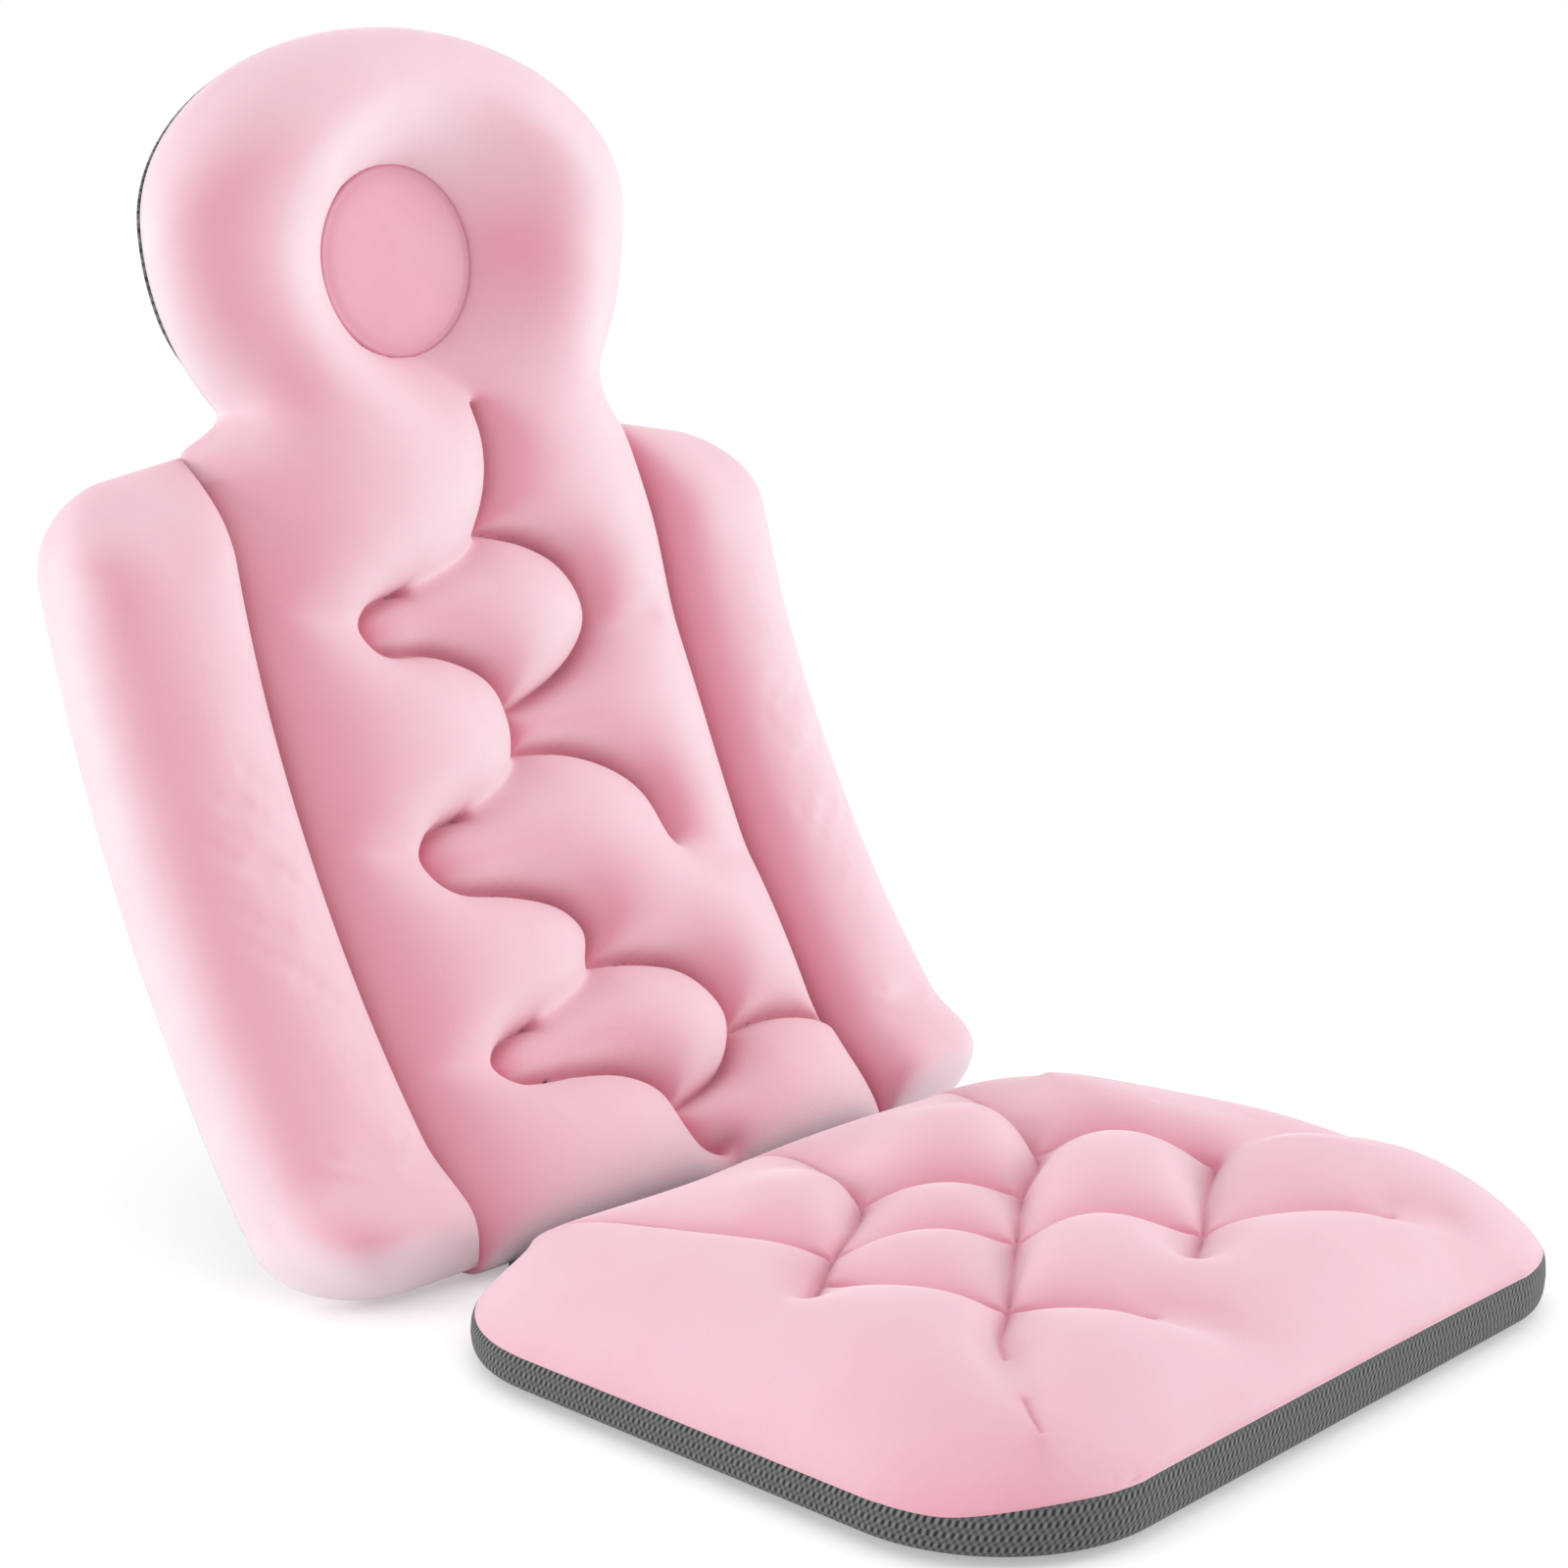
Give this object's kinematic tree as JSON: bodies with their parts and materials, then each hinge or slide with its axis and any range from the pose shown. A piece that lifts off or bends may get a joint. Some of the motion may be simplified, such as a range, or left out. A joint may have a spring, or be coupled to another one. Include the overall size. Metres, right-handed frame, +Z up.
{
  "type": "bath pillow",
  "caption": "Full-body bath pillow: quilted plush seat pad joined by a fold to a curved quilted back with side bolsters and a padded head ring, held by suction cups.",
  "frame": {"origin": "centre of the bounding box, on the floor under the part", "axes": "+Z up, +Y from the front of the seat towards the back, +X to the right of a viewer in front"},
  "size_m": [0.414, 0.5584, 0.5261],
  "materials": {
    "pink_plush": "soft short pile",
    "disc_plush": "soft short pile",
    "grey_mesh": "ribbed spacer mesh",
    "white_fibre": "fibre wadding",
    "soft_vinyl": "clear soft vinyl",
    "eyelet_plastic": "moulded plastic"
  },
  "bodies": {
    "seat": {"seat_quilted_cover": "pink_plush", "seat_inner_pad": "white_fibre", "seat_mesh_gusset": "grey_mesh", "seat_mesh_base": "grey_mesh", "fold_web": "grey_mesh", "seat_rear_left_cup": "soft_vinyl", "seat_rear_left_eyelet": "eyelet_plastic", "seat_rear_right_cup": "soft_vinyl", "seat_rear_right_eyelet": "eyelet_plastic", "seat_front_left_cup": "soft_vinyl", "seat_front_left_eyelet": "eyelet_plastic", "seat_front_right_cup": "soft_vinyl", "seat_front_right_eyelet": "eyelet_plastic"},
    "back": {"back_quilted_cover": "pink_plush", "back_inner_pad": "white_fibre", "head_disc": "disc_plush", "back_mesh": "grey_mesh", "left_bolster_cover": "pink_plush", "right_bolster_cover": "pink_plush", "left_bolster_filling": "white_fibre", "right_bolster_filling": "white_fibre", "back_lower_left_cup": "soft_vinyl", "back_lower_left_eyelet": "eyelet_plastic", "back_lower_right_cup": "soft_vinyl", "back_lower_right_eyelet": "eyelet_plastic", "back_upper_left_cup": "soft_vinyl", "back_upper_left_eyelet": "eyelet_plastic", "back_upper_right_cup": "soft_vinyl", "back_upper_right_eyelet": "eyelet_plastic", "head_left_cup": "soft_vinyl", "head_left_eyelet": "eyelet_plastic", "head_right_cup": "soft_vinyl", "head_right_eyelet": "eyelet_plastic"}
  },
  "joints": [
    {"name": "back_fold", "type": "hinge", "parent": "seat", "child": "back", "pos_m": [0, 0.08477, 0.031], "axis": [1, 0, 0], "range_deg": [-50, 60]}
  ]
}
